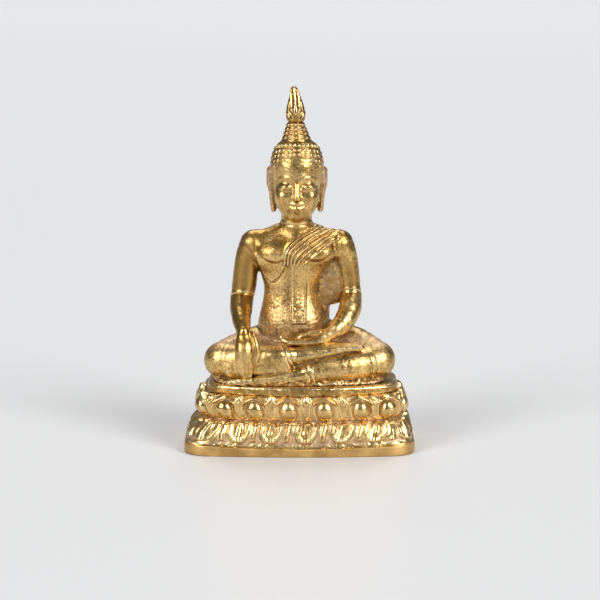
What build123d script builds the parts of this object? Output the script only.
"""A small cast brass seated buddha on a double lotus pedestal, in millimetres.

The figure faces -Y with +Z up, and stands with the middle of its footprint at the origin, so its own
right hand is on the -X side. It is an assembly: a solid figure casting with two fitted forearms and a
lift-off flame finial, on a seat slab and two hollow lotus tiers. One long screw through the base plate
pulls the stack together, and two long dowels keep it in line.
"""

import os
from math import cos, radians, sin

from build123d import *

# ---- Driving dimensions: the pedestal, from the floor up ----
FOOT_HALF_WIDTH = 23.0
FOOT_HALF_DEPTH = 12.5
FOOT_BAND_TOP = 2.3
WAIST_HEIGHT = 7.0
UPPER_TIER_TOP = 11.7
SLAB_TOP = 13.7
WAIST_HALF_WIDTH = 19.8
UPPER_TIER_HALF_WIDTH = 20.5
SLAB_HALF_WIDTH = 19.2
PEDESTAL_WALL = 2.6
PLATE_THICKNESS = 1.6
PLATE_LIFT = 0.3
PLATE_GAP = 0.05
PETALS_PER_TIER = 24

# ---- Driving dimensions: the fasteners ----
SCREW_RADIUS = 1.5
SCREW_HEAD_RADIUS = 2.8
SCREW_REACH = 6.5
DOWEL_RADIUS = 1.0
DOWEL_X = 12.5
DOWEL_Y = 0.0
DOWEL_BOTTOM = 3.0
DOWEL_TOP = 17.5
DOWEL_BOSS_RADIUS = 2.4
RIB_WIDTH = 3.0
ELBOW_DOWEL_RADIUS = 0.6
ELBOW_DOWEL_HALF_LENGTH = 2.0
RUNNING_GAP = 0.02
END_GAP = 0.3

# ---- Driving dimensions: the figure ----
HEAD_X = -0.5
HEAD_Y = 1.3
FINIAL_X = -0.75
CROWN_TOP = 65.0
FLAME_TIP = 72.0
TANG_RADIUS = 0.9
TANG_LENGTH = 4.0
TANG_GAP = 0.05
ELBOW_TILT = 27.0
BALL_EXCESS = 1.04

RIGHT_ELBOW_CUT = (-11.3, 1.6, 30.0)
LEFT_ELBOW_CUT = (9.9, 1.6, 30.8)


def plan(half_width, front, back, bow, front_radius, back_radius, z=0.0):
    """A D-shaped outline with a bowed front, flat sides and back, and rounded corners."""
    shoulder = -front + bow
    outline = Curve() + [
        ThreePointArc((-half_width, shoulder), (0, -front), (half_width, shoulder)),
        Line((half_width, shoulder), (half_width, back)),
        Line((half_width, back), (-half_width, back)),
        Line((-half_width, back), (-half_width, shoulder)),
    ]
    face = make_face(outline)
    corners = face.vertices().sort_by(Axis.Y)
    face = fillet(corners[:2], front_radius)
    rear = face.vertices().sort_by(Axis.Y)[-2:]
    return Pos(0, 0, z) * fillet(rear, back_radius)


def foot_plan(z=0.0, inset=0.0):
    """The foot's outline, drawn in by inset."""
    depth = FOOT_HALF_DEPTH - inset
    return plan(FOOT_HALF_WIDTH - inset, depth, depth, 1.7, 5.0 - inset, 4.0 - inset, z)


def tier_plan(half_width, z, depth=11.4, inset=0.0):
    """The outline of a lotus tier at one height, drawn in by inset."""
    return plan(half_width - inset, depth - inset, depth - 0.4 - inset, 2.8, 5.0 - inset, 4.0 - inset, z)


def tube(start, start_radius, end, end_radius):
    """A straight tapered limb between two points."""
    along = Vector(*end) - Vector(*start)
    base = Plane(origin=start, z_dir=along)
    if abs(start_radius - end_radius) < 1e-6:
        return Solid.make_cylinder(start_radius, along.length, base)
    return Solid.make_cone(start_radius, end_radius, along.length, base)


def ball(centre, radius):
    """A joint ball, a little fuller than the limb that ends in it."""
    return Pos(*centre) * Sphere(radius * BALL_EXCESS)


def limb(*stations):
    """A chain of tapered tubes with a ball at each (x, y, z, radius) station."""
    parts = [ball(s[:3], s[3]) for s in stations]
    parts += [tube(a[:3], a[3], b[:3], b[3]) for a, b in zip(stations, stations[1:])]
    return parts


def ellipse_stack(sections):
    """A smooth loft through (z, centre x, centre y, half width, half depth) ellipses."""
    return loft([Pos(x, y, z) * Ellipse(a, b) for z, x, y, a, b in sections])


def upright_rod(x, y, radius, bottom, top):
    """A plain vertical cylinder between two heights."""
    return Pos(x, y, bottom) * Cylinder(radius, top - bottom, align=(Align.CENTER, Align.CENTER, Align.MIN))


def dowel_holes(bottom, top):
    """The two clearance holes of the long dowels between two heights."""
    radius = DOWEL_RADIUS + RUNNING_GAP
    return [upright_rod(side * DOWEL_X, DOWEL_Y, radius, bottom, top) for side in (-1, 1)]


def screw_hole(bottom, top):
    """The tie screw's hole between two heights."""
    return upright_rod(0, 0, SCREW_RADIUS + RUNNING_GAP, bottom, top)


def pedestal_hollow(half_width, depth, bottom, top):
    """The space inside a tier, which leaves a boss round each long dowel."""
    room = extrude(tier_plan(half_width, bottom, depth, PEDESTAL_WALL), top - bottom)
    for side in (-1, 1):
        room -= upright_rod(side * DOWEL_X, DOWEL_Y, DOWEL_BOSS_RADIUS, bottom, top)
        rib_middle = side * (DOWEL_X + half_width) / 2
        room -= Pos(rib_middle, DOWEL_Y, (bottom + top) / 2) * Box(half_width - DOWEL_X, RIB_WIDTH, top - bottom)
    return room


def petal_spots(outline):
    """Even places round a tier's outline, each with the direction that faces outwards."""
    wire = outline.wires()[0]
    for i in range(PETALS_PER_TIER):
        share = i / PETALS_PER_TIER
        spot = wire.position_at(share)
        outward = wire.tangent_at(share).cross(Vector(0, 0, 1))
        yield spot, outward if outward.dot(spot) > 0 else -outward


def base_plate():
    """The plate that closes the hollow underside, countersunk for the tie screw."""
    body = extrude(foot_plan(PLATE_LIFT, PEDESTAL_WALL + PLATE_GAP), PLATE_THICKNESS)
    seat = Pos(0, 0, PLATE_LIFT) * Cone(
        SCREW_HEAD_RADIUS + RUNNING_GAP, SCREW_RADIUS + RUNNING_GAP, PLATE_THICKNESS,
        align=(Align.CENTER, Align.CENTER, Align.MIN),
    )
    return body - seat


def lower_lotus_tier():
    """The foot band and the ring of petals that hang outwards and down."""
    band = extrude(foot_plan(), FOOT_BAND_TOP)
    flare = loft([foot_plan(FOOT_BAND_TOP, 0.9), tier_plan(WAIST_HALF_WIDTH, WAIST_HEIGHT)], ruled=True)
    petals = []
    for spot, outward in petal_spots(foot_plan(0, 1.7)):
        low = spot - outward * 0.5 + Vector(0, 0, FOOT_BAND_TOP + 1.0)
        high = spot - outward * 1.3 + Vector(0, 0, WAIST_HEIGHT - 1.3)
        petals.append(tube(low, 1.6, high, 0.9))
        petals.append(ball(low, 1.6))
    body = band + flare + petals
    plate_room = extrude(foot_plan(0, PEDESTAL_WALL), PLATE_LIFT + PLATE_THICKNESS)
    hollow = pedestal_hollow(WAIST_HALF_WIDTH, 11.4, PLATE_LIFT + PLATE_THICKNESS, WAIST_HEIGHT)
    return body - plate_room - hollow - dowel_holes(DOWEL_BOTTOM - END_GAP, WAIST_HEIGHT)


def upper_lotus_tier():
    """The ring of upright petals under the seat slab."""
    sections = [
        tier_plan(WAIST_HALF_WIDTH - 0.6, WAIST_HEIGHT, 11.0),
        tier_plan(UPPER_TIER_HALF_WIDTH, 9.6, 11.6),
        tier_plan(SLAB_HALF_WIDTH + 0.4, UPPER_TIER_TOP, 11.2),
    ]
    petals = []
    for spot, outward in petal_spots(tier_plan(UPPER_TIER_HALF_WIDTH, 0, 11.6)):
        petals.append(Pos(*(spot - outward * 1.2 + Vector(0, 0, 9.4))) * Sphere(1.8))
    body = loft(sections, ruled=True) + petals
    hollow = pedestal_hollow(WAIST_HALF_WIDTH, 11.4, WAIST_HEIGHT, UPPER_TIER_TOP)
    return body - hollow - dowel_holes(WAIST_HEIGHT, UPPER_TIER_TOP)


def seat_slab():
    """The plain moulded slab that the figure sits on."""
    outline = plan(SLAB_HALF_WIDTH, 10.9, 10.8, 4.2, 5.0, 4.0, UPPER_TIER_TOP)
    slab = extrude(outline, SLAB_TOP - UPPER_TIER_TOP)
    rims = slab.edges().filter_by(Plane.XY)
    slab = fillet(rims, 0.5)
    return slab - screw_hole(UPPER_TIER_TOP, SLAB_TOP) - dowel_holes(UPPER_TIER_TOP, SLAB_TOP)


def tie_screw():
    """The countersunk screw that pulls base plate, tiers, slab and figure together."""
    shank = upright_rod(0, 0, SCREW_RADIUS, PLATE_LIFT + PLATE_THICKNESS, SLAB_TOP + SCREW_REACH)
    head = Pos(0, 0, PLATE_LIFT) * Cone(
        SCREW_HEAD_RADIUS, SCREW_RADIUS, PLATE_THICKNESS, align=(Align.CENTER, Align.CENTER, Align.MIN)
    )
    slot = Pos(0, 0, PLATE_LIFT) * Box(2 * SCREW_HEAD_RADIUS, 0.7, 1.4)
    return shank + head - slot


def locating_dowels():
    """The two long dowels, as one group of separate pins."""
    return Compound([upright_rod(side * DOWEL_X, DOWEL_Y, DOWEL_RADIUS, DOWEL_BOTTOM, DOWEL_TOP) for side in (-1, 1)])


def elbow_plane(cut):
    """The plane of an elbow seam: high at the front, low at the back, its normal down the forearm."""
    tilt = radians(ELBOW_TILT)
    return Plane(origin=cut, z_dir=(0, -sin(tilt), -cos(tilt)), x_dir=(1, 0, 0))


def elbow_side(cut, below):
    """A block on one side of an elbow seam, large enough to hold the arm there."""
    reach = 16.0
    block = Box(12, 14, reach, align=(Align.CENTER, Align.CENTER, Align.MIN if below else Align.MAX))
    return elbow_plane(cut).location * block


def elbow_hole(cut):
    """The hole of an elbow dowel, half in the upper arm and half in the forearm."""
    length = 2 * (ELBOW_DOWEL_HALF_LENGTH + END_GAP)
    return elbow_plane(cut).location * Cylinder(ELBOW_DOWEL_RADIUS + RUNNING_GAP, length)


def elbow_dowels():
    """The two pins inside the elbows, as one group."""
    pin = Cylinder(ELBOW_DOWEL_RADIUS, 2 * ELBOW_DOWEL_HALF_LENGTH)
    return Compound([elbow_plane(cut).location * pin for cut in (RIGHT_ELBOW_CUT, LEFT_ELBOW_CUT)])


def arm(shoulder, elbow, shoulder_radius, elbow_radius):
    """An upper arm from the shoulder to the elbow."""
    return limb((*shoulder, shoulder_radius), (*elbow, elbow_radius))


RIGHT_ARM = arm((-9.8, 1.8, 40.4), (-11.5, 2.2, 29.4), 3.0, 2.35)
LEFT_ARM = arm((8.9, 1.8, 40.4), (10.0, 2.2, 29.2), 3.0, 2.2)


def torso():
    """Hips, belly, waist, chest and neck."""
    trunk = ellipse_stack([
        (14.6, -0.4, 2.6, 7.6, 5.4),
        (21.5, -1.1, 2.0, 7.2, 5.3),
        (26.0, -1.3, 1.8, 6.6, 4.9),
        (32.0, -1.7, 2.2, 5.4, 3.8),
        (38.0, -1.2, 1.8, 7.6, 4.5),
        (41.5, -0.7, 2.0, 7.6, 3.8),
        (43.8, -0.6, 2.2, 4.4, 3.2),
    ])
    neck = upright_rod(-0.6, 2.0, 3.1, 40.0, 49.0)
    return [trunk, neck]


def head():
    """A plain egg of a head with long ears and the tapering crown of the hair."""
    skull = ellipse_stack([
        (46.0, HEAD_X, -1.4, 1.9, 1.7),
        (47.6, HEAD_X, 0.0, 3.5, 3.8),
        (50.5, HEAD_X, 0.9, 4.8, 5.2),
        (54.6, HEAD_X, HEAD_Y, 5.7, 6.0),
        (57.8, HEAD_X, HEAD_Y, 5.2, 5.6),
        (60.4, HEAD_X, HEAD_Y, 3.9, 4.2),
    ])
    crown = ellipse_stack([
        (59.6, HEAD_X, HEAD_Y, 4.1, 4.3),
        (61.5, FINIAL_X, HEAD_Y, 3.2, 3.3),
        (CROWN_TOP, FINIAL_X, HEAD_Y, 1.95, 1.95),
    ])
    ears = []
    for side in (-1, 1):
        ears += limb((HEAD_X + side * 5.4, 1.8, 55.6, 0.75), (HEAD_X + side * 4.9, 1.5, 47.8, 0.6))
    return [skull, crown, *ears]


def crossed_legs():
    """Thighs, shins and feet, the right leg folded over the left one."""
    mat = extrude(plan(17.6, 9.9, 8.4, 3.9, 4.5, 4.0, SLAB_TOP), 0.8)
    thighs = limb((-15.3, -2.0, 17.75, 3.6), (-6.0, 3.4, 19.7, 5.2))
    thighs += limb((15.3, -2.0, 17.75, 3.6), (6.0, 3.4, 19.7, 5.2))
    upper_shin = limb((-14.2, -3.7, 18.0, 3.2), (-2.0, -6.6, 19.2, 2.1), (13.6, -6.4, 20.6, 0.9))
    lower_shin = limb((14.2, -3.7, 17.4, 3.1), (2.0, -7.0, 16.2, 1.9), (-13.2, -7.3, 15.0, 0.8))
    return [mat, *thighs, *upper_shin, *lower_shin]


def robe():
    """The web of robe behind the left arm and the folded sash down the front."""
    web = Pos(0, 3.9, 0) * extrude(
        Plane.XZ * make_face(Polyline((2.6, 38.6), (8.6, 39.0), (9.4, 30.0), (8.9, 27.2), (4.0, 27.6), close=True)),
        1.3,
    )
    sash = Pos(0.0, -1.4, 32.0) * Box(3.0, 3.4, 15.2)
    return [web, sash]


def figure_casting():
    """The solid casting of head, torso, upper arms and crossed legs, with its blind holes."""
    solid = Part() + torso() + head() + crossed_legs() + robe()
    for cut, parts in ((RIGHT_ELBOW_CUT, RIGHT_ARM), (LEFT_ELBOW_CUT, LEFT_ARM)):
        solid += (Part() + parts) - elbow_side(cut, below=True)
        solid -= elbow_hole(cut)
    socket = upright_rod(FINIAL_X, HEAD_Y, TANG_RADIUS + TANG_GAP, CROWN_TOP - TANG_LENGTH - END_GAP, CROWN_TOP)
    solid -= socket
    solid -= screw_hole(SLAB_TOP, SLAB_TOP + SCREW_REACH + END_GAP)
    return solid - dowel_holes(SLAB_TOP, DOWEL_TOP + END_GAP)


def right_forearm(figure):
    """The forearm and the long-fingered hand that reaches down over the shin."""
    elbow = limb((-11.5, 2.2, 29.4, 2.35), (-11.0, -6.8, 25.2, 1.5))
    palm = ellipse_stack([
        (25.6, -11.0, -7.2, 1.5, 1.3),
        (23.0, -10.9, -9.0, 1.9, 1.1),
        (19.5, -10.9, -9.9, 1.85, 0.9),
        (15.6, -10.6, -10.1, 0.7, 0.6),
    ])
    thumb = limb((-9.6, -8.8, 23.0, 0.6), (-8.5, -9.6, 19.6, 0.5))
    arm_block = (Part() + RIGHT_ARM + elbow) & elbow_side(RIGHT_ELBOW_CUT, below=True)
    return arm_block + palm + thumb - figure - elbow_hole(RIGHT_ELBOW_CUT)


def left_forearm(figure):
    """The forearm and the open hand that lies in the lap."""
    elbow = limb((10.0, 2.2, 29.2, 2.2), (7.6, -4.2, 24.8, 1.6))
    palm = limb((7.6, -4.2, 24.8, 1.6), (3.0, -5.6, 23.6, 1.3), (-3.0, -6.0, 23.4, 0.7))
    arm_block = (Part() + LEFT_ARM + elbow) & elbow_side(LEFT_ELBOW_CUT, below=True)
    return arm_block + palm - figure - elbow_hole(LEFT_ELBOW_CUT)


def flame_finial():
    """The flame on the crown, with the round tang that drops into its socket."""
    flame = loft([
        Pos(x, HEAD_Y, z) * Circle(r)
        for z, x, r in (
            (CROWN_TOP, FINIAL_X, 1.75),
            (66.2, FINIAL_X, 1.95),
            (68.0, FINIAL_X - 0.1, 1.6),
            (70.2, FINIAL_X - 0.3, 0.85),
            (FLAME_TIP, FINIAL_X - 0.4, 0.3),
        )
    ])
    return flame + upright_rod(FINIAL_X, HEAD_Y, TANG_RADIUS, CROWN_TOP - TANG_LENGTH, CROWN_TOP + 0.5)


def main():
    """Builds each sub-part and writes it to parts/NODE.step."""
    os.makedirs("parts", exist_ok=True)
    figure = figure_casting()
    nodes = {
        "base_plate": base_plate(),
        "lower_lotus_tier": lower_lotus_tier(),
        "upper_lotus_tier": upper_lotus_tier(),
        "seat_slab": seat_slab(),
        "tie_screw": tie_screw(),
        "locating_dowels": locating_dowels(),
        "elbow_dowels": elbow_dowels(),
        "figure_casting": figure,
        "right_forearm": right_forearm(figure),
        "left_forearm": left_forearm(figure),
        "flame_finial": flame_finial(),
    }
    for name, shape in nodes.items():
        export_step(shape, f"parts/{name}.step")


main()
